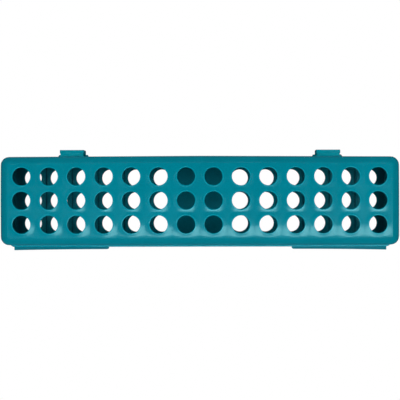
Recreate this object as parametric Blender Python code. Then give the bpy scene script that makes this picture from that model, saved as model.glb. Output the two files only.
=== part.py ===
"""A clamshell rack for 16 mm test tubes: two moulded polypropylene half shells that fold
shut along two film hinges on the -Y side and are held by two hinged latch flaps on the
+Y side. Metres, +Z up, +X along the rack, origin on the table under the rack's centre."""

import math

import bmesh
import bpy
from mathutils import Vector

# Driving dimensions
COLUMNS = 14
ROWS = 3
CLOSED_COLUMNS = (6, 7)  # the middle columns, which have no holes in the lower shell
PITCH_X = 0.02504
PITCH_Y = 0.02195
HOLE_D = 0.0164
DECK_LENGTH = 0.3658  # over the rounded edge of the deck
DECK_WIDTH = 0.0819
HEIGHT = 0.070
CORNER_R = 0.0085  # seen from above
WALL = 0.0022
DECK = 0.0024
DRAFT = 0.0006  # how much each wall leans out from the deck to the parting line
SHOULDER = 0.0070  # the rounded edge between deck and wall

# Small dimensions
MID = HEIGHT / 2
PART_GAP = 0.00015  # from the parting plane to each shell's rim
CLEARANCE = 0.0003  # between pieces that meet
CEILING_R = 0.0045
RIB_T = 0.0012
RIB_H = 0.004
BURIED = 0.0005  # how deep an added shape starts inside the shell
TONGUE_T = 0.0009
TONGUE_H = 0.002
TONGUE_ROOT = 0.004
LIP_OUT = 0.0020
LIP_T = 0.0016
LIP_H = 0.0003  # from the parting plane to the lip
LIP_LENGTH = 0.3580
FILM_T = 0.0006
HINGE_INNER_X = 0.0861
HINGE_OUTER_X = 0.1750
HINGE_OUT = 0.0051  # how far the hinge film stands out from the rim
LATCH_X = 0.1198
LATCH_WIDTH = 0.0224
LATCH_OUT = 0.00575
LATCH_T = 0.0018
LATCH_SOFT = 0.0006  # rounding of the flap's edges
LATCH_FILM = 0.0013  # width of the film that a flap swings on
LATCH_TOP = 0.0092  # above the parting plane
LATCH_FOOT = -0.0086
LUG_OUT = 0.0005
LUG_T = 0.0016
HOOK_TOP = -0.0066
CATCH_WIDTH = 0.0286
CATCH_OUT = 0.0017
CATCH_TOP = -0.0016
CATCH_FOOT = -0.0062
CATCH_SLOPE = 0.0020
CORNER_STEPS = 6
SHOULDER_STEPS = 4
CEILING_STEPS = 2
HOLE_SIDES = 20
CORNERS = ((-1, -1), (1, -1), (1, 1), (-1, 1))  # of a rectangle, as signs

RIM_Y = DECK_WIDTH / 2 + DRAFT  # the wall's outer face at the parting plane
LIP_Y = RIM_Y + LIP_OUT
HINGE_Y = -(RIM_Y + HINGE_OUT)
LATCH_Y = RIM_Y + LATCH_OUT
LUG_Y = RIM_Y + LUG_OUT
FLAP_TOP_Y = LUG_Y + LATCH_FILM + 2 * CLEARANCE
FLAP_AXIS = Vector((0, (LUG_Y + FLAP_TOP_Y) / 2, MID + LATCH_TOP - FILM_T / 2))


def clear_scene():
    for obj in list(bpy.data.objects):
        bpy.data.objects.remove(obj, do_unlink=True)


def plastic(name, colour, roughness):
    """A moulded polypropylene finish."""
    material = bpy.data.materials.new(name)
    material.use_nodes = True
    shader = material.node_tree.nodes["Principled BSDF"]
    shader.inputs["Base Color"].default_value = (*colour, 1)
    shader.inputs["Roughness"].default_value = roughness
    shader.inputs["Metallic"].default_value = 0
    return material


def object_from(bm, name, material=None):
    """A scene object from a bmesh in world coordinates."""
    bmesh.ops.recalc_face_normals(bm, faces=bm.faces)
    mesh = bpy.data.meshes.new(name)
    bm.to_mesh(mesh)
    bm.free()
    obj = bpy.data.objects.new(name, mesh)
    bpy.context.scene.collection.objects.link(obj)
    if material:
        mesh.materials.append(material)
    return obj


def as_helper(obj):
    """Marks a shape that is only added to a piece or cut from it."""
    obj.hide_render = True
    obj.display_type = "WIRE"
    return obj


def boolean(obj, other, operation):
    modifier = obj.modifiers.new(operation.lower(), "BOOLEAN")
    modifier.operation = operation
    modifier.solver = "EXACT"
    modifier.object = other


def put_origin(obj, origin, parent=None):
    """Moves obj's origin, not its shape, onto the joint it turns on."""
    obj.data.transform(obj.matrix_world.inverted())
    for vertex in obj.data.vertices:
        vertex.co -= origin
    obj.parent = parent
    obj.location = origin - parent.location if parent else origin


def outline(inset):
    """Plan of the rack at a distance inside the deck's edge, as (x, y) points."""
    radius = CORNER_R - inset
    centre_x = DECK_LENGTH / 2 - CORNER_R
    centre_y = DECK_WIDTH / 2 - CORNER_R
    points = []
    for quarter, (sx, sy) in enumerate(((1, 1), (-1, 1), (-1, -1), (1, -1))):
        for step in range(CORNER_STEPS + 1):
            angle = (quarter + step / CORNER_STEPS) * math.pi / 2
            x = sx * centre_x + radius * math.cos(angle)
            y = sy * centre_y + radius * math.sin(angle)
            points.append((x, y))
    return points


def shell_sections(with_tongue):
    """(inset, height) from the deck's edge down the outside to the rim and up the inside.
    Heights are measured from the parting plane towards the shell's own deck."""
    sections = []
    for step in range(SHOULDER_STEPS + 1):
        angle = math.pi / 2 * step / SHOULDER_STEPS
        inset = SHOULDER * (1 - math.sin(angle))
        height = MID - SHOULDER * (1 - math.cos(angle))
        sections.append((inset, height))
    sections.append((-DRAFT, PART_GAP))
    if with_tongue:
        outer_face = WALL - DRAFT + CLEARANCE
        inner_face = outer_face + TONGUE_T
        sections.append((outer_face, PART_GAP))
        sections.append((outer_face, -TONGUE_H))
        sections.append((inner_face, -TONGUE_H))
        sections.append((inner_face, TONGUE_ROOT))
        sections.append((WALL - DRAFT, TONGUE_ROOT + 2 * TONGUE_T))
    else:
        sections.append((WALL - DRAFT, PART_GAP))
    for step in range(CEILING_STEPS + 1):
        angle = math.pi / 2 * step / CEILING_STEPS
        inset = WALL + CEILING_R * (1 - math.cos(angle))
        height = MID - DECK - CEILING_R * (1 - math.sin(angle))
        sections.append((inset, height))
    return sections


def half_shell(name, side, material):
    """An open tray with its deck on top (side 1) or at the bottom (side -1)."""
    bm = bmesh.new()
    loops = []
    for inset, height in shell_sections(with_tongue=side < 0):
        z = MID + side * height
        loops.append([bm.verts.new((x, y, z)) for x, y in outline(inset)])
    for first, second in zip(loops, loops[1:]):
        for i in range(len(first)):
            j = (i + 1) % len(first)
            bm.faces.new((first[i], first[j], second[j], second[i]))
    bm.faces.new(loops[0])
    bm.faces.new(loops[-1])
    return object_from(bm, name, material)


def add_prism(bm, profile, along, low, high):
    """Extrudes a profile along an axis: (y, z) points along X, or (x, y) points along Z."""
    def corner(a, b, end):
        return (end, a, b) if along == "X" else (a, b, end)

    base = bm.faces.new([bm.verts.new(corner(a, b, low)) for a, b in profile])
    grown = bmesh.ops.extrude_face_region(bm, geom=[base])["geom"]
    verts = [item for item in grown if isinstance(item, bmesh.types.BMVert)]
    step = Vector((high - low, 0, 0)) if along == "X" else Vector((0, 0, high - low))
    bmesh.ops.translate(bm, verts=verts, vec=step)
    return verts


def column_x(column):
    return (column - (COLUMNS - 1) / 2) * PITCH_X


def row_y(row):
    return (row - (ROWS - 1) / 2) * PITCH_Y


def hole_cutter(name, side, closed=()):
    """One drill through the deck for each tube position that is open."""
    bm = bmesh.new()
    deck_z = MID + side * (MID - DECK / 2)
    for column in range(COLUMNS):
        if column in closed:
            continue
        for row in range(ROWS):
            drill = bmesh.ops.create_cone(
                bm,
                cap_ends=True,
                segments=HOLE_SIDES,
                radius1=HOLE_D / 2,
                radius2=HOLE_D / 2,
                depth=3 * DECK,
            )
            place = Vector((column_x(column), row_y(row), deck_z))
            bmesh.ops.translate(bm, verts=drill["verts"], vec=place)
    return as_helper(object_from(bm, name))


def add_ribs(bm, side):
    """Ribs across the inside of a deck, one between each two columns of holes."""
    ceiling = MID + side * (MID - DECK)
    root = ceiling + side * BURIED
    edge = ceiling - side * RIB_H
    reach = ROWS * PITCH_Y / 2
    for column in range(COLUMNS - 1):
        x = column_x(column) + PITCH_X / 2
        plan = [(x + sx * RIB_T / 2, sy * reach) for sx, sy in CORNERS]
        add_prism(bm, plan, "Z", min(root, edge), max(root, edge))


def add_lip(bm, side):
    """The narrow flange along the rim on the hinge side, with its ends run into the corners."""
    centre_x = DECK_LENGTH / 2 - CORNER_R
    centre_y = DECK_WIDTH / 2 - CORNER_R
    radius = CORNER_R + DRAFT - BURIED
    end = []
    for step in range(4):
        angle = math.radians(15 * step)
        x = centre_x + radius * math.sin(angle)
        y = -centre_y - radius * math.cos(angle)
        end.append((x, y))
    end.append((LIP_LENGTH / 2, -LIP_Y))
    plan = end + [(-x, y) for x, y in reversed(end)]
    near, far = MID + side * LIP_H, MID + side * (LIP_H + LIP_T)
    add_prism(bm, plan, "Z", min(near, far), max(near, far))


def add_lug(bm, x):
    """The ledge on the upper shell that a latch flap hangs from."""
    profile = [
        (RIM_Y - DRAFT - BURIED, MID + LATCH_TOP - LUG_T),
        (LUG_Y, MID + LATCH_TOP - LUG_T),
        (LUG_Y, MID + LATCH_TOP),
        (RIM_Y - DRAFT - BURIED, MID + LATCH_TOP),
    ]
    add_prism(bm, profile, "X", x - LATCH_WIDTH / 2, x + LATCH_WIDTH / 2)


def add_catch(bm, x):
    """The ledge on the lower shell that a latch's hook snaps under, with sloping ends."""
    root_y = RIM_Y - DRAFT - BURIED
    profile = [
        (root_y, MID + CATCH_TOP),
        (RIM_Y, MID + CATCH_TOP),
        (RIM_Y + CATCH_OUT, MID + CATCH_TOP - CATCH_SLOPE),
        (RIM_Y + CATCH_OUT, MID + CATCH_FOOT),
        (root_y, MID + CATCH_FOOT),
    ]
    add_prism(bm, profile, "X", x - CATCH_WIDTH / 2, x + CATCH_WIDTH / 2)
    for vertex in bm.verts:
        outer = vertex.co.y > RIM_Y + CATCH_OUT / 2
        if outer and abs(abs(vertex.co.x - x) - CATCH_WIDTH / 2) < CLEARANCE:
            vertex.co.x -= math.copysign(CATCH_OUT / 2, vertex.co.x - x)


def upper_shell(material):
    shell = half_shell("upper_shell", 1, material)
    bm = bmesh.new()
    add_ribs(bm, 1)
    add_lip(bm, 1)
    for x in (-LATCH_X, LATCH_X):
        add_lug(bm, x)
    boolean(shell, as_helper(object_from(bm, "upper_additions")), "UNION")
    boolean(shell, hole_cutter("upper_drills", 1), "DIFFERENCE")
    return shell


def lower_shell(material):
    shell = half_shell("lower_shell", -1, material)
    bm = bmesh.new()
    add_ribs(bm, -1)
    add_lip(bm, -1)
    for x in (-LATCH_X, LATCH_X):
        add_catch(bm, x)
    boolean(shell, as_helper(object_from(bm, "lower_additions")), "UNION")
    boolean(shell, hole_cutter("lower_drills", -1, CLOSED_COLUMNS), "DIFFERENCE")
    return shell


def hinge_film(name, side, material):
    """A thin strip bent into a C that joins the two lips over one stretch of the rim."""
    arm = LIP_H + LIP_T / 2
    bend_y = HINGE_Y + FILM_T / 2 + arm
    start_y = -LIP_Y - CLEARANCE
    outer = [(start_y, MID - arm - FILM_T / 2)]
    inner = [(start_y, MID - arm + FILM_T / 2)]
    for step in range(9):
        angle = -math.pi / 2 + math.pi * step / 8
        for points, radius in ((outer, arm + FILM_T / 2), (inner, arm - FILM_T / 2)):
            y = bend_y - radius * math.cos(angle)
            points.append((y, MID + radius * math.sin(angle)))
    outer.append((start_y, MID + arm + FILM_T / 2))
    inner.append((start_y, MID + arm - FILM_T / 2))
    bm = bmesh.new()
    low, high = sorted((side * HINGE_INNER_X, side * HINGE_OUTER_X))
    add_prism(bm, outer + inner[::-1], "X", low, high)
    return object_from(bm, name, material)


def latch_film(name, x, material):
    """The thin strip that a latch flap swings on."""
    start, end = LUG_Y + CLEARANCE, FLAP_TOP_Y - CLEARANCE
    top = MID + LATCH_TOP
    profile = [(start, top - FILM_T), (end, top - FILM_T), (end, top), (start, top)]
    bm = bmesh.new()
    inset = 2 * CLEARANCE
    add_prism(bm, profile, "X", x - LATCH_WIDTH / 2 + inset, x + LATCH_WIDTH / 2 - inset)
    return object_from(bm, name, material)


def latch_flap(name, x, material):
    """A plate that hangs outside the rim, with a hook along its foot."""
    inner_y = LATCH_Y - LATCH_T
    hook_y = RIM_Y + LUG_OUT + CLEARANCE
    soft = LATCH_SOFT
    profile = [
        (FLAP_TOP_Y, MID + LATCH_TOP - LUG_T),
        (FLAP_TOP_Y, MID + LATCH_TOP),
        (LATCH_Y - 2 * soft, MID + LATCH_TOP),
        (LATCH_Y - soft / 2, MID + LATCH_TOP - soft / 2),
        (LATCH_Y, MID + LATCH_TOP - 2 * soft),
        (LATCH_Y, MID + LATCH_FOOT + soft),
        (LATCH_Y - soft, MID + LATCH_FOOT),
        (hook_y + 2 * soft, MID + LATCH_FOOT),
        (hook_y, MID + LATCH_FOOT + 2 * soft),
        (hook_y, MID + HOOK_TOP),
        (inner_y, MID + HOOK_TOP),
        (inner_y, MID + LATCH_TOP - LUG_T),
    ]
    bm = bmesh.new()
    add_prism(bm, profile, "X", x - LATCH_WIDTH / 2, x + LATCH_WIDTH / 2)
    return object_from(bm, name, material)


def build():
    clear_scene()
    teal = (0.002, 0.195, 0.250)
    upper = upper_shell(plastic("upper_shell_plastic", teal, 0.38))
    lower = lower_shell(plastic("lower_shell_plastic", teal, 0.38))
    put_origin(upper, Vector((0, HINGE_Y, MID)))
    for side, hand in ((-1, "left"), (1, "right")):
        film = plastic(f"hinge_film_{hand}_plastic", (0.004, 0.280, 0.340), 0.30)
        hinge_film(f"hinge_film_{hand}", side, film)
        x = side * LATCH_X
        film = plastic(f"latch_film_{hand}_plastic", (0.004, 0.280, 0.340), 0.30)
        latch_film(f"latch_film_{hand}", x, film)
        finish = plastic(f"latch_flap_{hand}_plastic", teal, 0.36)
        flap = latch_flap(f"latch_flap_{hand}", x, finish)
        put_origin(flap, FLAP_AXIS + Vector((x, 0, 0)), upper)


build()
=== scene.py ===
"""Looks for the clamshell test tube rack: two moulded half shells, film hinges and latch
flaps in teal polypropylene, on white paper under softboxes."""

import math

import bmesh
import bpy
import numpy as np
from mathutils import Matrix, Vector


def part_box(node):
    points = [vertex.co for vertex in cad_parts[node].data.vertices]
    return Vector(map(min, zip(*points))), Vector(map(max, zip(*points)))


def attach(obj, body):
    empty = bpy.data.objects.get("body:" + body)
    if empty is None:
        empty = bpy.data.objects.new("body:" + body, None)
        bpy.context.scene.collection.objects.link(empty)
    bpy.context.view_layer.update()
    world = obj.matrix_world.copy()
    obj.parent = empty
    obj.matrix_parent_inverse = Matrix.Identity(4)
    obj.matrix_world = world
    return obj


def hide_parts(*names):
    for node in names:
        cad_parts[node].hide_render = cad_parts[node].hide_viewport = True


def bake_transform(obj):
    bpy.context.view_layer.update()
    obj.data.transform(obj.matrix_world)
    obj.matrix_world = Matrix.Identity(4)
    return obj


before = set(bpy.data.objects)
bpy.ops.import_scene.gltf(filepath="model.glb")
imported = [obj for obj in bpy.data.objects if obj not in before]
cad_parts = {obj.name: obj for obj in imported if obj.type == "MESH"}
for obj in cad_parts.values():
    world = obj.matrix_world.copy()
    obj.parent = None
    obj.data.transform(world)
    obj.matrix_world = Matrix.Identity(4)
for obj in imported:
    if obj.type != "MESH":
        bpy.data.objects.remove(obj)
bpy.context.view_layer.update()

MM = 0.001

# The hole grid
COLUMNS = 14
ROWS = 3
CLOSED_COLUMNS = (6, 7)  # without holes in the lower deck
PITCH_X = 25.04 * MM
PITCH_Y = 21.95 * MM
HOLE_R = 8.2 * MM

# What the frame gives
UPPER_LOW, UPPER_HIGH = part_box("upper_shell")
FLAP_LOW, FLAP_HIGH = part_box("latch_flap_right")
FLAP_FILM_LOW, FLAP_FILM_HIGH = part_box("latch_film_right")
HINGE_LOW, HINGE_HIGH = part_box("hinge_film_right")

# The shells. Heights are above the parting plane, which is at MID in the frame.
MID = UPPER_HIGH.z / 2
DRAFT = 0.6 * MM  # how much wider the rim is than the deck, on each side
LIP_OUT = 2.0 * MM
DECK_X = UPPER_HIGH.x - DRAFT
RIM_Y = -UPPER_LOW.y - LIP_OUT
DECK_Y = RIM_Y - DRAFT
WALL = 2.2 * MM
DECK_T = 2.4 * MM
TOP = MID  # of the deck
CEILING = TOP - DECK_T
CORNER_R = 7.6 * MM  # of the deck, seen from above
SHOULDER = 7.0 * MM  # width of the rounded edge between deck and wall
# The shoulder in cross-section: first and last slope in degrees, width, steps
SHOULDER_ARCS = ((0, 26, 0.15 * MM, 3), (26, 46, 5.25 * MM, 5), (46, 90, 1.6 * MM, 5))
PART_GAP = 0.15 * MM  # from the parting plane to each rim
RIB_T = 1.2 * MM
RIB_H = 4.0 * MM
RIB_SOFT = 0.3 * MM  # bevel of a rib's edges
BEVEL = 0.3 * MM  # at the inner end of a hole
FILLET_R = 3.0 * MM  # between wall and deck, inside
FILLET_STEPS = 4
FILLET_SINK = 0.7 * MM  # keeps the fillet under the shoulder
RIM_SOFT = 0.25 * MM  # rounding of the rim's edges
WALL_SHARES = (0.35, 0.7)  # rows down the wall, between the shoulder and the lip

# The hinge lip
LIP_LOW = 0.3 * MM
LIP_HIGH = 1.9 * MM
LIP_SOFT = 0.35 * MM
LIP_FADE = 0.8 * CORNER_R  # how far it fades out round the corners

# The tongue of the lower shell, which reaches up inside the upper one
TONGUE_GAP = 0.3 * MM
TONGUE_T = 0.9 * MM
TONGUE_END = -2.0 * MM
TONGUE_ROOT = 4.0 * MM
TONGUE_FOOT = 5.8 * MM

# How finely the surface is made
WELD = 2e-6  # points nearer than this become one
TINY = 1e-7
SIDE_STEPS = 12  # along each side of one hole's cell
RIM_STEPS = 4
CELL_SHARES = (1, 0.72, 0.46, 0.22)  # rings of a cell, from its border in
SHELL_SMOOTH = 35  # degrees between faces that still look smooth
PIECE_SMOOTH = 50

# Relief of the upper deck. The lower deck is flat.
RIM_R = 0.45 * MM  # rounding of a hole's edge
RINGS = (1.9 * MM, 1.5 * MM, 1.2 * MM, 0.95 * MM, 0.7 * MM, RIM_R)  # round each hole
COLLAR = 0.08 * MM  # how far the raised ring round a hole stands up
COLLAR_END = 1.3 * MM
MOUND_END = 13.2 * MM  # from a hole's centre to where the sink is deepest
SINK = 0.30 * MM
CROWN = 1.5 * MM
GROOVE = 0.02 * MM
GROOVE_W = 1.2 * MM
GROOVE_MIDDLE = 2  # how many times deeper still over the middle rib
GROOVE_ENDS = 1.5  # and past the outer rows of holes
GROOVE_ENDS_Y = 29  # which is from this y on, in mm
WAVE = 0.03 * MM
WAVE_NUMBERS = ((131, 60), (57, -170))  # radians per metre along x and y
WAVE_PHASE = 1.3
BOW = 0.8 * MM
RIM_BOW = 0.45  # share of the bow at the rim
BOW_RISE = 8 * MM  # height above the rim where the bow is full

# How much painted light the plastic gets, from 0 to 1: its colour made lighter to stand in for
# highlights and for light where the lamps leave shade
RIM_PAINTED_HIGHLIGHT = 0.6  # painted highlight round each hole's edge
# how far out from the rim the painted highlight fades
RIM_PAINTED_HIGHLIGHT_W = 1.1 * MM
LIP_PAINTED_LIGHT = 0.7  # painted light on the wall just over the lip, against the shade the wall casts there


def smoothstep(t):
    """Rises from 0 to 1 as t does, with level ends."""
    t = np.clip(t, 0, 1)
    return t * t * (3 - 2 * t)


def column_x(column):
    return (column - (COLUMNS - 1) / 2) * PITCH_X


def row_y(row):
    return (row - (ROWS - 1) / 2) * PITCH_Y


class Surface:
    """Collects patches of points and welds them into one mesh."""

    def __init__(self):
        self.points = []
        self.faces = []
        self.pale = {}

    def add(self, rows, closed=False, pale=None):
        """Adds a patch through rows of points, all of one length. closed joins the ends of
        each row. pale maps a row's index to how much painted light its points get."""
        start = len(self.points)
        count = len(rows[0])
        for row in rows:
            self.points.extend(row)
        for i, levels in (pale or {}).items():
            for j, level in enumerate(np.broadcast_to(levels, count)):
                self.pale[start + i * count + j] = float(level)
        for i in range(len(rows) - 1):
            for j in range(count if closed else count - 1):
                k = (j + 1) % count
                a = start + i * count
                b = a + count
                self.faces.append((a + j, a + k, b + k, b + j))

    def object(self, name, smooth=SHELL_SMOOTH):
        """The welded object, smooth where faces meet at less than this many degrees."""
        bm = bmesh.new()
        layer = bm.verts.layers.float.new("pale")
        verts = [bm.verts.new(p) for p in self.points]
        for index, value in self.pale.items():
            verts[index][layer] = value
        for face in self.faces:
            bm.faces.new([verts[i] for i in face])
        bmesh.ops.remove_doubles(bm, verts=bm.verts, dist=WELD)
        bmesh.ops.dissolve_degenerate(bm, edges=bm.edges, dist=TINY)
        bmesh.ops.recalc_face_normals(bm, faces=bm.faces)
        mesh = bpy.data.meshes.new(name)
        bm.to_mesh(mesh)
        bm.free()
        mesh.shade_smooth()
        mesh.set_sharp_from_angle(angle=math.radians(smooth))
        obj = bpy.data.objects.new(name, mesh)
        bpy.context.scene.collection.objects.link(obj)
        return obj


# ---- one half shell -----------------------------------------------------------------

CELL_X = (PITCH_X - RIB_T) / 2
CELL_Y = PITCH_Y / 2
BLOCK_X = column_x(COLUMNS - 1) + CELL_X
BLOCK_Y = row_y(ROWS - 1) + CELL_Y
# The points up one end of the block of cells, without the last
SIDE_YS = [
    row_y(row) - CELL_Y + 2 * CELL_Y * step / SIDE_STEPS
    for row in range(ROWS)
    for step in range(SIDE_STEPS)
]


def cell_edge(x, y):
    """Points round a cell's border, from its +x -y corner, anticlockwise."""
    corners = [(1, -1), (1, 1), (-1, 1), (-1, -1)]
    points = []
    for (ax, ay), (bx, by) in zip(corners, corners[1:] + corners[:1]):
        for step in range(SIDE_STEPS):
            t = step / SIDE_STEPS
            px = x + CELL_X * (ax + (bx - ax) * t)
            py = y + CELL_Y * (ay + (by - ay) * t)
            points.append((px, py))
    return np.array(points)


def cell_circle(x, y, radius):
    """As many points on a circle, in the same order."""
    count = 4 * SIDE_STEPS
    angles = -math.pi / 4 + np.arange(count) * 2 * math.pi / count
    return np.c_[x + radius * np.cos(angles), y + radius * np.sin(angles)]


def block_edge():
    """The border of all the cells together, anticlockwise from the +x -y corner. Its second
    half is the first turned about the middle."""
    half = [(BLOCK_X, y) for y in SIDE_YS]
    for column in reversed(range(COLUMNS)):
        for step in range(SIDE_STEPS + (column > 0)):
            half.append((column_x(column) + CELL_X - 2 * CELL_X * step / SIDE_STEPS, BLOCK_Y))
        if column > 0:
            half.append((column_x(column) - PITCH_X / 2, BLOCK_Y))
    return np.array(half + [(-x, -y) for x, y in half])


def outline(edge, inset):
    """The block's border moved out to the rack's plan, at this inset from the deck's edge."""
    radius = CORNER_R - inset
    half_x, half_y = DECK_X - inset, DECK_Y - inset
    arc = radius * math.pi / 4
    on_side = np.abs(edge[:, 0]) >= BLOCK_X - TINY
    along = np.where(on_side, np.abs(edge[:, 1]) / BLOCK_Y, np.abs(edge[:, 0]) / BLOCK_X)
    straight = np.where(on_side, half_y - radius, half_x - radius)
    travel = along * (straight + arc)
    angle = np.clip((travel - straight) / radius, 0, math.pi / 4)
    run = np.minimum(travel, straight)
    far = np.where(on_side, half_x, half_y) - radius
    out = far + radius * np.cos(angle)
    side = run + radius * np.sin(angle)
    x = np.where(on_side, out, side) * np.sign(edge[:, 0])
    y = np.where(on_side, side, out) * np.sign(edge[:, 1])
    return np.c_[x, y]


def dome(y, flat):
    """How far the crown brings the deck down at this y."""
    return 0 * y if flat else CROWN * (y / BLOCK_Y) ** 2


def relief(xy, flat):
    """How far the deck lies below its nominal plane: sinks between the holes, a faint
    groove over each rib, a slow wave and a crown across the width."""
    x, y = xy[:, 0], xy[:, 1]
    if flat:
        return np.zeros(len(x))
    sink, collar = np.ones(len(x)), np.ones(len(x))
    column = np.clip(np.round(x / PITCH_X + (COLUMNS - 1) / 2), 0, COLUMNS - 1)
    row = np.clip(np.round(y / PITCH_Y + (ROWS - 1) / 2), 0, ROWS - 1)
    for dc in (-1, 0, 1):
        for dr in (-1, 0, 1):
            c, r = column + dc, row + dr
            real = (c >= 0) & (c < COLUMNS) & (r >= 0) & (r < ROWS)
            away = np.hypot(x - column_x(c), y - row_y(r))
            rise = smoothstep((away - HOLE_R - RIM_R) / (MOUND_END - HOLE_R - RIM_R))
            step = smoothstep((away - HOLE_R - RIM_R) / COLLAR_END)
            sink *= np.where(real, rise, 1)
            collar *= np.where(real, step, 1)
    from_rib = np.abs(x / PITCH_X - np.round(x / PITCH_X)) * PITCH_X
    inside = np.abs(x) < BLOCK_X - PITCH_X / 2
    groove = GROOVE * np.exp(-((from_rib / GROOVE_W) ** 2)) * inside
    at_end = smoothstep(np.abs(y) / MM - GROOVE_ENDS_Y)
    groove *= 1 + GROOVE_MIDDLE * (np.abs(x) < PITCH_X / 2) + GROOVE_ENDS * at_end
    (ax, ay), (bx, by) = WAVE_NUMBERS
    wave = WAVE * (1 + np.sin(ax * x + ay * y) * np.sin(bx * x + by * y + WAVE_PHASE))
    return SINK * sink + COLLAR * collar + groove + wave + dome(y, flat)


def lifted(xy, heights):
    """Points in the plane with a height each, or one for all."""
    return [tuple(p) for p in np.c_[xy, np.broadcast_to(heights, len(xy))]]


def half_shell(name, side, closed=()):
    """A tray, made deck up and then put over the parting plane (side 1) or, mirrored, under
    it (side -1)."""
    surface = Surface()
    flat = side < 0
    for column in range(COLUMNS):
        cell = closed_cell if column in closed else open_cell
        for row in range(ROWS):
            cell(surface, column_x(column), row_y(row), flat)
    rib_strips(surface, flat)
    walls(surface, flat)
    surface.points = [(x, y, MID + side * h) for x, y, h in surface.points]
    return surface.object(name)


def open_cell(surface, x, y, flat):
    """The deck round one hole: in from the cell's border, down through the hole and out
    again underneath."""
    edge = cell_edge(x, y)
    rows, pale = [], {}
    outer = cell_circle(x, y, HOLE_R + RINGS[0])
    for share in CELL_SHARES:
        ring = outer * (1 - share) + edge * share
        rows.append(lifted(ring, TOP - relief(ring, flat)))
    for out in RINGS:
        ring = cell_circle(x, y, HOLE_R + out)
        base = TOP - relief(ring, flat)
        # painted highlight on the hole's edge, fading outwards
        pale[len(rows)] = RIM_PAINTED_HIGHLIGHT * (1 - smoothstep((out - RIM_R) / RIM_PAINTED_HIGHLIGHT_W))
        rows.append(lifted(ring, base))
    for step in range(1, RIM_STEPS + 1):
        angle = math.pi / 2 * step / RIM_STEPS
        ring = cell_circle(x, y, HOLE_R + RIM_R * (1 - math.sin(angle)))
        # the rounded rim gets the full painted highlight
        pale[len(rows)] = RIM_PAINTED_HIGHLIGHT
        rows.append(lifted(ring, base - RIM_R * (1 - math.cos(angle))))
    rows.append(lifted(cell_circle(x, y, HOLE_R), base - 3 * RIM_R))
    for out in (0, 0.3 * BEVEL, BEVEL):
        ring = cell_circle(x, y, HOLE_R + out)
        rows.append(lifted(ring, CEILING + max(BEVEL - out, 0) - dome(ring[:, 1], flat)))
    for plan in ((ring + edge) / 2, edge):
        rows.append(lifted(plan, CEILING - dome(plan[:, 1], flat)))
    surface.add(rows, closed=True, pale=pale)


def closed_cell(surface, x, y, flat):
    """A cell without a hole: the deck's outside and its inside."""
    steps = np.linspace(-1, 1, SIDE_STEPS + 1)
    lines = [np.c_[x + CELL_X * steps, np.full(len(steps), y + CELL_Y * t)] for t in steps]
    surface.add([lifted(line, TOP - relief(line, flat)) for line in lines])
    surface.add([lifted(line, CEILING - dome(line[:, 1], flat)) for line in lines])


def rib_strips(surface, flat):
    """The strip of deck over each rib, and the rib below it."""
    ys = np.array([*SIDE_YS, BLOCK_Y])
    foot = CEILING - RIB_H
    low = dome(ys, flat)
    for column in range(COLUMNS - 1):
        left = column_x(column) + CELL_X
        right = column_x(column + 1) - CELL_X
        middle = (left + right) / 2
        lines = [np.c_[np.full(len(ys), x), ys] for x in (left, middle, right)]
        surface.add([lifted(line, TOP - relief(line, flat)) for line in lines])
        profile = [
            (left, CEILING),
            (left, foot + RIB_SOFT),
            (left + RIB_SOFT, foot),
            (middle, foot),
            (right - RIB_SOFT, foot),
            (right, foot + RIB_SOFT),
            (right, CEILING),
        ]
        surface.add([lifted(np.c_[np.full(len(ys), x), ys], h - low) for x, h in profile])
        for y in (-BLOCK_Y, BLOCK_Y):
            near = [(x, y, h - low[-1]) for x, h in profile[:3]]
            far = [(x, y, h - low[-1]) for x, h in reversed(profile[4:])]
            heights = (CEILING, foot + RIB_SOFT, foot)
            surface.add([near, [(middle, y, h - low[-1]) for h in heights], far])


def lip_weight(plan):
    """1 along the hinge side, fading to 0 round its two corners."""
    reach = DECK_X - CORNER_R
    over = (np.abs(plan[:, 0]) - reach) / LIP_FADE
    return (1 - smoothstep(over)) * (plan[:, 1] < -DECK_Y / 2)


def bowed(plan, height, inset, flat):
    """The plan with its far wall drawn in a little towards the ends: most at the top of the
    rack, less at the rim and not at all at the foot."""
    above = (1 - RIM_BOW) * height / BOW_RISE
    below = -RIM_BOW * height / MID
    share = np.clip(RIM_BOW + (below if flat else above), 0, 1) * min(1, 1 - inset / SHOULDER)
    moved = plan.copy()
    far = np.clip(plan[:, 1] / DECK_Y, 0, 1)
    moved[:, 1] -= BOW * share * far * np.abs(plan[:, 0] / DECK_X)
    return moved


def shoulder_rows(sag):
    """Inset and height of each row of the shoulder after its first."""
    rows = []
    inset, drop = SHOULDER, 0.0
    for first, last, width, steps in SHOULDER_ARCS:
        first, last = math.radians(first), math.radians(last)
        radius = width / (math.sin(last) - math.sin(first))
        for step in range(1, steps + 1):
            angle = first + (last - first) * step / steps
            across = radius * (math.sin(angle) - math.sin(first))
            down = radius * (math.cos(first) - math.cos(angle))
            rows.append((inset - across, TOP - drop - down - sag))
        inset -= width
        drop += down
    return rows


def lip_profile():
    """The hinge lip in cross-section, from its top down: how far out in mm, and the height."""
    out = LIP_OUT / MM
    return (
        (0.0, LIP_HIGH + 1.2 * LIP_SOFT),
        (0.35, LIP_HIGH + 0.08 * LIP_SOFT),
        (1.2, LIP_HIGH),
        (out - 0.35, LIP_HIGH),
        (out - 0.1, LIP_HIGH - 0.1 * MM),
        (out, LIP_HIGH - 0.35 * MM),
        (out, LIP_LOW + 0.35 * MM),
        (out - 0.1, LIP_LOW + 0.1 * MM),
        (out - 0.35, LIP_LOW),
        (0.3, LIP_LOW),
        (0.0, LIP_LOW - 0.05 * MM),
    )


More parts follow.
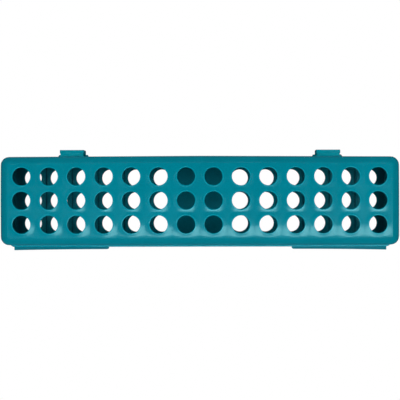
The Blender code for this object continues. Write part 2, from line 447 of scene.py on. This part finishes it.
def rim_rows(flat):
    """Inset and height of each row from the rim's outer edge to the inner wall, by way of the
    tongue on the lower shell."""
    inner = WALL - DRAFT
    rows = [(-DRAFT + 0.2 * RIM_SOFT, PART_GAP)]
    if not flat:
        return rows + [(inner - 0.2 * RIM_SOFT, PART_GAP), (inner, PART_GAP + RIM_SOFT)]
    face = inner + TONGUE_GAP
    back = face + TONGUE_T
    return rows + [
        (face - RIM_SOFT, PART_GAP),
        (face, PART_GAP - 0.3 * RIM_SOFT),
        (face, TONGUE_END + RIM_SOFT),
        (face + RIM_SOFT, TONGUE_END),
        (back - RIM_SOFT, TONGUE_END),
        (back, TONGUE_END + RIM_SOFT),
        (back, TONGUE_ROOT),
        (inner, TONGUE_FOOT),
    ]


def walls(surface, flat):
    """From the block of cells over the shoulder, down the wall, round the rim and back up to
    the block's inside."""
    edge = block_edge()
    sag = relief(edge, flat)
    rows = [lifted(edge, TOP - sag)]
    pale = {}

    def ring(inset, height):
        plan = outline(edge, inset)
        rows.append(lifted(bowed(plan, height, inset, flat), height))

    ring(SHOULDER, TOP - sag)
    for inset, height in shoulder_rows(sag):
        ring(inset, height)
    wall_top = height
    wall_plan = outline(edge, -DRAFT)
    weight = lip_weight(wall_plan)
    for share in WALL_SHARES:
        ring(-DRAFT * share, wall_top + (LIP_HIGH + LIP_SOFT - wall_top) * share)
    # painted light on the wall row just over the hinge lip
    pale[len(rows) - 1] = LIP_PAINTED_LIGHT * weight
    for out, height in lip_profile():
        moved = bowed(wall_plan, height, -DRAFT, flat)
        moved[:, 1] -= out * MM * weight
        # the hinge lip itself gets full painted light, lifting the wall's shade
        pale[len(rows)] = weight
        rows.append(lifted(moved, height))
    for inset, height in rim_rows(flat):
        ring(inset, height)
    inner_top = CEILING - (0 if flat else CROWN + FILLET_SINK)
    for step in range(FILLET_STEPS + 1):
        angle = math.pi / 2 * step / FILLET_STEPS
        inset = WALL + FILLET_R * (1 - math.cos(angle))
        ring(inset, inner_top - FILLET_R * (1 - math.sin(angle)))
    rows.append(lifted(edge, CEILING - dome(edge[:, 1], flat)))
    surface.add(rows, closed=True, pale=pale)


# ---- the small pieces on the rim ----------------------------------------------------

EDGE_SOFT = 0.3 * MM  # rounding of their edges
EDGE_ANGLE = 25  # degrees from which an edge is rounded


def prism(name, profile, low, high, taper=0.0, tip=0.0, pale=0.0):
    """A closed solid from a (y, z) profile drawn along X, its edges rounded. Points beyond
    tip in y lie nearer the middle by taper. pale says how much painted light it gets."""
    bm = bmesh.new()
    base = bm.faces.new([bm.verts.new((low, y, z)) for y, z in profile])
    grown = bmesh.ops.extrude_face_region(bm, geom=[base])["geom"]
    moved = [item for item in grown if isinstance(item, bmesh.types.BMVert)]
    bmesh.ops.translate(bm, verts=moved, vec=(high - low, 0, 0))
    middle = (low + high) / 2
    for vertex in bm.verts:
        if taper and vertex.co.y > tip:
            vertex.co.x -= math.copysign(taper, vertex.co.x - middle)
    bmesh.ops.recalc_face_normals(bm, faces=bm.faces)
    edges = [e for e in bm.edges if e.calc_face_angle(0) > math.radians(EDGE_ANGLE)]
    bmesh.ops.bevel(
        bm,
        geom=edges,
        offset=EDGE_SOFT,
        segments=3,
        profile=0.5,
        affect="EDGES",
        clamp_overlap=True,
    )
    bmesh.ops.recalc_face_normals(bm, faces=bm.faces)
    mesh = bpy.data.meshes.new(name)
    bm.to_mesh(mesh)
    bm.free()
    mesh.shade_smooth()
    mesh.set_sharp_from_angle(angle=math.radians(PIECE_SMOOTH))
    light = mesh.attributes.new("pale", "FLOAT", "POINT").data
    light.foreach_set("value", np.full(len(light), pale))
    obj = bpy.data.objects.new(name, mesh)
    bpy.context.scene.collection.objects.link(obj)
    return obj


FILM_GAP = 0.3 * MM  # between a film and its neighbours in the frame
LUG_Y = FLAP_FILM_LOW.y - FILM_GAP
HANG_Y = FLAP_FILM_HIGH.y + FILM_GAP
ROOT_Y = RIM_Y - 1.2 * MM  # where lugs and catches start, inside the wall
LATCH_T = 1.6 * MM  # of a lug and of the arm of a flap
FLAP_T = 1.8 * MM
FLAP_Y = FLAP_HIGH.y
FLAP_X = (FLAP_LOW.x + FLAP_HIGH.x) / 2
FLAP_HALF = (FLAP_HIGH.x - FLAP_LOW.x) / 2
FLAP_TOP = FLAP_HIGH.z
FLAP_FOOT = FLAP_LOW.z
HOOK_Y = RIM_Y + 0.8 * MM
HOOK_T = 2 * MM
CATCH_HALF = 14.3 * MM
CATCH_Y = RIM_Y + 1.7 * MM
CATCH_TOP = MID - 1.6 * MM
CATCH_FOOT = MID - 6.2 * MM
CATCH_TAPER = 0.85 * MM  # how much shorter its outer part is, at each end
CATCH_TIP_Y = RIM_Y + 0.85 * MM  # where that part starts


def lug(name, x):
    """The shelf on the upper rim that carries a flap."""
    low, high = FLAP_TOP - LATCH_T, FLAP_TOP
    profile = [(ROOT_Y, low), (LUG_Y, low), (LUG_Y, high), (ROOT_Y, high)]
    # painted light: the whole lug is lighter, to lift the shade the shell casts on the tabs
    return prism(name, profile, x - FLAP_HALF, x + FLAP_HALF, pale=1.0)


def catch(name, x):
    """The ledge on the lower shell that a flap hooks under."""
    profile = [
        (ROOT_Y, CATCH_FOOT),
        (CATCH_Y, CATCH_FOOT),
        (CATCH_Y, CATCH_TOP - 2.0 * MM),
        (RIM_Y, CATCH_TOP),
        (ROOT_Y, CATCH_TOP),
    ]
    return prism(name, profile, x - CATCH_HALF, x + CATCH_HALF, CATCH_TAPER, CATCH_TIP_Y)


def flap(name, x):
    """The swinging plate, with its arm on top and its hook at the foot."""
    inner = FLAP_Y - FLAP_T
    profile = [
        (HANG_Y, FLAP_TOP - LATCH_T),
        (HANG_Y, FLAP_TOP),
        (FLAP_Y - 1.2 * MM, FLAP_TOP),
        (FLAP_Y - 0.35 * MM, FLAP_TOP - 0.35 * MM),
        (FLAP_Y, FLAP_TOP - 1.2 * MM),
        (FLAP_Y, FLAP_FOOT + 0.8 * MM),
        (FLAP_Y - 0.8 * MM, FLAP_FOOT),
        (HOOK_Y + 1.2 * MM, FLAP_FOOT),
        (HOOK_Y, FLAP_FOOT + 1.2 * MM),
        (HOOK_Y, FLAP_FOOT + HOOK_T),
        (inner, FLAP_FOOT + HOOK_T),
        (inner, FLAP_TOP - LATCH_T),
    ]
    return prism(name, profile, x - FLAP_HALF, x + FLAP_HALF)


FILM_T = 0.6 * MM
FILM_LAP = 0.25 * MM  # how far a latch film reaches into what it joins
FILM_NECK = 0.22 * MM  # how much thinner it is at its middle
FILM_NECK_W = 0.18  # share of its length
FILM_STEPS = 4
STRIP_ARM = 1.1 * MM  # from the parting plane to each leg of a hinge strip
STRIP_LAP = 0.4 * MM  # how far a hinge strip reaches into the lips
STRIP_LEG = 0.85  # share of each leg that has points of its own
STRIP_STEPS = 60
STRIP_TAPER = 0.85 * MM  # how much narrower it is at its inner end
STRIP_TAPER_POWER = 2.2
STRIP_SLANT = 0.8 * MM  # of the corner cut off there
STRIP_PAINTED_GLOW_START = 0.85  # share of its width where its painted glow starts, towards the outer bend
STRIP_PAINTED_GLOW_W = 0.1


def strip(name, line, thickness, low, high, steps):
    """A thin closed strip that follows a line of (y, z) points, from low to high in X."""
    line = np.array(line)
    along = np.gradient(line, axis=0)
    along /= np.linalg.norm(along, axis=1)[:, None]
    off = np.c_[-along[:, 1], along[:, 0]] * (np.asarray(thickness) / 2)[:, None]
    loop = np.vstack([line + off, (line - off)[::-1]])
    surface = Surface()
    rows = []
    for x in np.linspace(low, high, steps + 1):
        rows.append([(x, y, z) for y, z in loop])
    surface.add(rows, closed=True)
    count = len(line)
    for row in (rows[0], rows[-1]):
        surface.add([row[:count], row[count:][::-1]])
    return surface.object(name, PIECE_SMOOTH)


def hinge_strip(name, side):
    """The bent strip between the two lips. It narrows a little towards the rack's middle,
    where its corner is cut at a slant. Its outer bend gets a painted glow."""
    start = -RIM_Y - LIP_OUT + STRIP_LAP
    bend = HINGE_LOW.y + FILM_T / 2 + STRIP_ARM
    leg = start + (bend - start) * np.linspace(0, STRIP_LEG, 5)
    line = [(y, MID - STRIP_ARM) for y in leg]
    for degrees in np.linspace(-90, 90, 17):
        angle = math.radians(degrees)
        line.append((bend - STRIP_ARM * math.cos(angle), MID + STRIP_ARM * math.sin(angle)))
    line += [(y, MID + STRIP_ARM) for y in leg[::-1]]
    low, high = sorted((side * HINGE_LOW.x, side * HINGE_HIGH.x))
    obj = strip(name, line, np.full(len(line), FILM_T), low, high, STRIP_STEPS)
    pale = obj.data.attributes["pale"].data
    for vertex in obj.data.vertices:
        along = abs(vertex.co.x) - HINGE_LOW.x
        far = along / (HINGE_HIGH.x - HINGE_LOW.x)
        narrow = STRIP_TAPER * (1 - far**STRIP_TAPER_POWER)
        narrow += STRIP_SLANT * max(0, 1 - along / STRIP_SLANT)
        share = np.clip((start - vertex.co.y) / (start - HINGE_LOW.y), 0, 1)
        vertex.co.y += narrow * share
        # painted glow along the outer bend, standing in for light through the thin film
        pale[vertex.index].value = smoothstep((share - STRIP_PAINTED_GLOW_START) / STRIP_PAINTED_GLOW_W)
    return obj


def latch_web(name, x):
    """The thin strip between a lug and its flap, thinnest half way."""
    start, end = LUG_Y - FILM_LAP, HANG_Y + FILM_LAP
    shares = np.linspace(0, 1, 13)
    thick = FILM_T - FILM_NECK * np.exp(-(((shares - 0.5) / FILM_NECK_W) ** 2))
    height = FLAP_TOP - FILM_T / 2 - 0.01 * MM
    line = [(start + (end - start) * t, height) for t in shares]
    half = FLAP_FILM_HIGH.x - FLAP_X
    return strip(name, line, thick, x - half, x + half, FILM_STEPS)


def join(into, *others):
    """Puts the others' meshes into the first object and removes them."""
    bm = bmesh.new()
    for obj in (into, *others):
        bm.from_mesh(obj.data)
    bm.to_mesh(into.data)
    bm.free()
    for obj in others:
        bpy.data.objects.remove(obj)
    return into


# ---- materials ----------------------------------------------------------------------


class Nodes:
    """Short ways to add and link shader nodes. An input's value may be another's output."""

    def __init__(self, tree):
        self.tree = tree
        tree.nodes.clear()

    def add(self, kind, settings=None, **inputs):
        node = self.tree.nodes.new(kind)
        for key, value in (settings or {}).items():
            setattr(node, key, value)
        for key, value in inputs.items():
            self.set(node, key.replace("_", " "), value)
        return node

    def set(self, node, name, value):
        socket = node.inputs[name]
        if isinstance(value, bpy.types.NodeSocket):
            self.tree.links.new(value, socket)
        else:
            socket.default_value = value


# The plastic's patterns, in turns per metre, and how strong they are
CLOUD_SCALE = 22.0
SPECK_SCALE = 900.0
GRAIN_SCALE = 1700.0
CLOUD_SHARE = 0.6  # of the cloud in the tone, beside the specks
TONE_RANGE = (0.45, 1.15)
TONE_DEPTH = 0.10
PAINTED_LIGHT_GAIN = 1.5  # how much lighter the painted light makes the plastic where "pale" is 1
GLOSS_DEPTH = 0.03
GRAIN_HEIGHT = 0.03 * MM
MIX_A, MIX_B, MIX_RESULT = 6, 7, 2  # sockets of a colour mix, whose names repeat


def polypropylene(name, colour, roughness, shine=0.5):
    """Moulded plastic: a little uneven in tone and gloss, with a fine grain, and with painted
    light (a lighter colour) where the mesh's pale attribute says so."""
    material = bpy.data.materials.new(name)
    material.use_nodes = True
    nodes = Nodes(material.node_tree)
    place = nodes.add("ShaderNodeTexCoord").outputs["Object"]
    cloud = nodes.add("ShaderNodeTexNoise", Vector=place, Scale=CLOUD_SCALE, Detail=3.0)
    speck = nodes.add("ShaderNodeTexNoise", Vector=place, Scale=SPECK_SCALE, Detail=2.0)
    grain = nodes.add("ShaderNodeTexNoise", Vector=place, Scale=GRAIN_SCALE, Detail=2.0)
    mixed = nodes.add("ShaderNodeMath", {"operation": "MULTIPLY_ADD"})
    nodes.tree.links.new(cloud.outputs["Fac"], mixed.inputs[0])
    mixed.inputs[1].default_value = CLOUD_SHARE
    nodes.tree.links.new(speck.outputs["Fac"], mixed.inputs[2])
    tone = nodes.add("ShaderNodeValToRGB", Fac=mixed.outputs[0])
    dark, light = tone.color_ramp.elements
    dark.position, light.position = TONE_RANGE
    dark.color = (*((1 - TONE_DEPTH) * c for c in colour), 1)
    light.color = (*((1 + TONE_DEPTH) * c for c in colour), 1)
    # painted light: mixes in a lighter teal where the pale attribute is set
    edge = nodes.add("ShaderNodeAttribute", {"attribute_name": "pale"})
    paint = nodes.add("ShaderNodeMix", {"data_type": "RGBA", "blend_type": "MIX"})
    nodes.tree.links.new(edge.outputs["Fac"], paint.inputs["Factor"])
    nodes.tree.links.new(tone.outputs["Color"], paint.inputs[MIX_A])
    paint.inputs[MIX_B].default_value = (*(PAINTED_LIGHT_GAIN * c for c in colour), 1)
    gloss = nodes.add("ShaderNodeMapRange", Value=cloud.outputs["Fac"])
    gloss.inputs["To Min"].default_value = roughness - GLOSS_DEPTH
    gloss.inputs["To Max"].default_value = roughness + GLOSS_DEPTH
    bump = nodes.add("ShaderNodeBump", Height=grain.outputs["Fac"], Strength=0.2)
    bump.inputs["Distance"].default_value = GRAIN_HEIGHT
    shader = nodes.add("ShaderNodeBsdfPrincipled", Base_Color=paint.outputs[MIX_RESULT])
    nodes.set(shader, "Roughness", gloss.outputs["Result"])
    nodes.set(shader, "Normal", bump.outputs["Normal"])
    shader.inputs["IOR"].default_value = 1.5
    shader.inputs["Specular Tint"].default_value = (0.5, 1, 1, 1)
    shader.inputs["Specular IOR Level"].default_value = shine
    output = nodes.add("ShaderNodeOutputMaterial")
    nodes.tree.links.new(shader.outputs["BSDF"], output.inputs["Surface"])
    return material


TEAL = (0.0, 0.228, 0.306)
# lighter copies of TEAL: painted light for the flaps in the shell's shade and for light
# through the thin latch films
FLAP_LIT_TEAL = (0.0, 0.31, 0.40)
FILM_LIT_TEAL = (0.0, 0.36, 0.45)
# darker copy of TEAL: painted shade for the hinge strips under the lip
HINGE_SHADED_TEAL = (0.0, 0.185, 0.250)
shell_plastic = polypropylene("shell_plastic", TEAL, roughness=0.16)
inner_plastic = polypropylene("lower_plastic", TEAL, roughness=0.18)
flap_plastic_lit = polypropylene("flap_plastic_lit", FLAP_LIT_TEAL, roughness=0.26)
film_plastic_lit = polypropylene("film_plastic_lit", FILM_LIT_TEAL, roughness=0.28)
hinge_plastic_shaded = polypropylene("hinge_plastic_shaded", HINGE_SHADED_TEAL, roughness=0.28, shine=0.15)


def dress(obj, material, slot, *nodes):
    """Gives a piece its plastic and hides the CAD nodes it stands for. slot is not used."""
    obj.data.materials.append(material)
    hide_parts(*nodes)
    return obj


upper = half_shell("upper_shell_skin", side=1)
join(upper, lug("lug_left", -FLAP_X), lug("lug_right", FLAP_X))
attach(dress(upper, shell_plastic, "upper_shell", "upper_shell"), "upper")
lower = half_shell("lower_shell_skin", side=-1, closed=CLOSED_COLUMNS)
join(lower, catch("catch_left", -FLAP_X), catch("catch_right", FLAP_X))
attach(dress(lower, inner_plastic, "lower_shell", "lower_shell"), "lower")
for side, hand in ((-1, "left"), (1, "right")):
    hinge = hinge_strip(f"hinge_strip_{hand}", side)
    dress(hinge, hinge_plastic_shaded, "film", f"hinge_film_{hand}")
    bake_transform(hinge)
    plate = flap(f"latch_plate_{hand}", side * FLAP_X)
    dress(plate, flap_plastic_lit, "latch", f"latch_flap_{hand}")
    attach(plate, f"latch_{hand}")
    web = latch_web(f"latch_web_{hand}", side * FLAP_X)
    dress(web, film_plastic_lit, "film", f"latch_film_{hand}")
    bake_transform(web)


# ---- the set ------------------------------------------------------------------------

FLOOR_REACH = 4.0


def floor(name, height, grey, glow):
    """A wide matt sheet under the rack, of this grey, that glows this much."""
    mesh = bpy.data.meshes.new(name)
    far = FLOOR_REACH
    corners = [(-far, -far, 0), (far, -far, 0), (far, far, 0), (-far, far, 0)]
    mesh.from_pydata(corners, [], [(0, 1, 2, 3)])
    sheet = bpy.data.objects.new(name, mesh)
    sheet.location.z = height
    bpy.context.scene.collection.objects.link(sheet)
    material = bpy.data.materials.new(name)
    material.use_nodes = True
    shader = material.node_tree.nodes["Principled BSDF"]
    shader.inputs["Base Color"].default_value = (grey, grey, grey, 1)
    shader.inputs["Roughness"].default_value = 0.8
    shader.inputs["Specular IOR Level"].default_value = 0.0
    shader.inputs["Emission Color"].default_value = (1, 1, 1, 1)
    shader.inputs["Emission Strength"].default_value = glow
    mesh.materials.append(material)
    return sheet


def table():
    """Paper that throws light back up at the rack, and under it a backdrop that is all the
    camera sees: plain white."""
    paper = floor("paper", height=-0.05 * MM, grey=0.5, glow=0.0)
    paper.visible_camera = False
    paper.visible_glossy = False
    backdrop = floor("backdrop", height=-0.2 * MM, grey=0.0, glow=1.0)
    backdrop.visible_diffuse = False
    backdrop.visible_glossy = False
    backdrop.visible_transmission = False


def softbox(name, place, aim, width, height, radiance, shine=False):
    """A soft light. One that shines only makes highlights; the others only light the
    plastic's colour."""
    light = bpy.data.lights.new(name, "AREA")
    light.shape = "RECTANGLE"
    light.size, light.size_y = width, height
    light.energy = radiance * math.pi * width * height
    box = bpy.data.objects.new(name, light)
    bpy.context.scene.collection.objects.link(box)
    box.location = place
    box.rotation_euler = (Vector(aim) - Vector(place)).to_track_quat("-Z", "Y").to_euler()
    box.visible_glossy = shine
    box.visible_diffuse = not shine


DECK_CENTRE = (0.0, 0.0, 0.07)
# Each softbox: name, place, aim, width, height, radiance and, for the key, shine
LIGHTS = (
    ("key", (0.45, -0.45, 1.50), (0.45, 0.0, 0.07), 1.4, 0.30, 6.3, True),
    ("bank_left", (-0.46, -0.08, 1.60), (-0.46, 0.0, 0.07), 0.3, 0.9, 7.7),
    ("bank_right", (0.46, -0.08, 1.60), (0.46, 0.0, 0.07), 0.3, 0.9, 7.7),
    ("wing_front", (0.0, -1.5, 1.15), DECK_CENTRE, 1.6, 0.6, 4.2),
    ("wing_back", (0.0, 1.5, 1.15), DECK_CENTRE, 1.6, 0.6, 3.5),
    ("fill_left", (-1.1, 0.05, 1.30), DECK_CENTRE, 1.2, 0.9, 0.8),
    ("fill_right", (1.1, 0.05, 1.30), DECK_CENTRE, 1.2, 0.9, 0.8),
)

# The studio's radiance against the sine of the height above the horizon
SKY = ((0.02, 0.06), (0.20, 0.02), (0.70, 0.0))


def surroundings():
    """A dark studio, a little less so near the horizon."""
    world = bpy.data.worlds.new("studio")
    bpy.context.scene.world = world
    world.use_nodes = True
    nodes = Nodes(world.node_tree)
    place = nodes.add("ShaderNodeTexCoord").outputs["Generated"]
    split = nodes.add("ShaderNodeSeparateXYZ", Vector=place)
    ramp = nodes.add("ShaderNodeValToRGB", Fac=split.outputs["Z"])
    stops = ramp.color_ramp.elements
    for _ in SKY[2:]:
        stops.new(0.5)
    for stop, (height, level) in zip(stops, SKY):
        stop.position = height
        stop.color = (level, level, level, 1)
    background = nodes.add("ShaderNodeBackground", Color=ramp.outputs["Color"])
    output = nodes.add("ShaderNodeOutputWorld")
    nodes.tree.links.new(background.outputs["Background"], output.inputs["Surface"])


def camera():
    """A long lens that looks straight down at the rack, a little off its centre."""
    data = bpy.data.cameras.new("camera")
    data.sensor_width = 36
    data.lens = 100.3
    data.shift_x = -0.0414
    data.shift_y = 0.0057
    eye = bpy.data.objects.new("camera", data)
    eye.location = (0.0153, -0.0018, 1.085)
    eye.rotation_euler.z = -0.0018
    bpy.context.scene.collection.objects.link(eye)
    bpy.context.scene.camera = eye


table()
surroundings()
for light in LIGHTS:
    softbox(*light)
camera()
scene = bpy.context.scene
scene.view_settings.view_transform = "Standard"
scene.view_settings.look = "None"
scene.view_settings.exposure = 0
scene.view_settings.gamma = 1
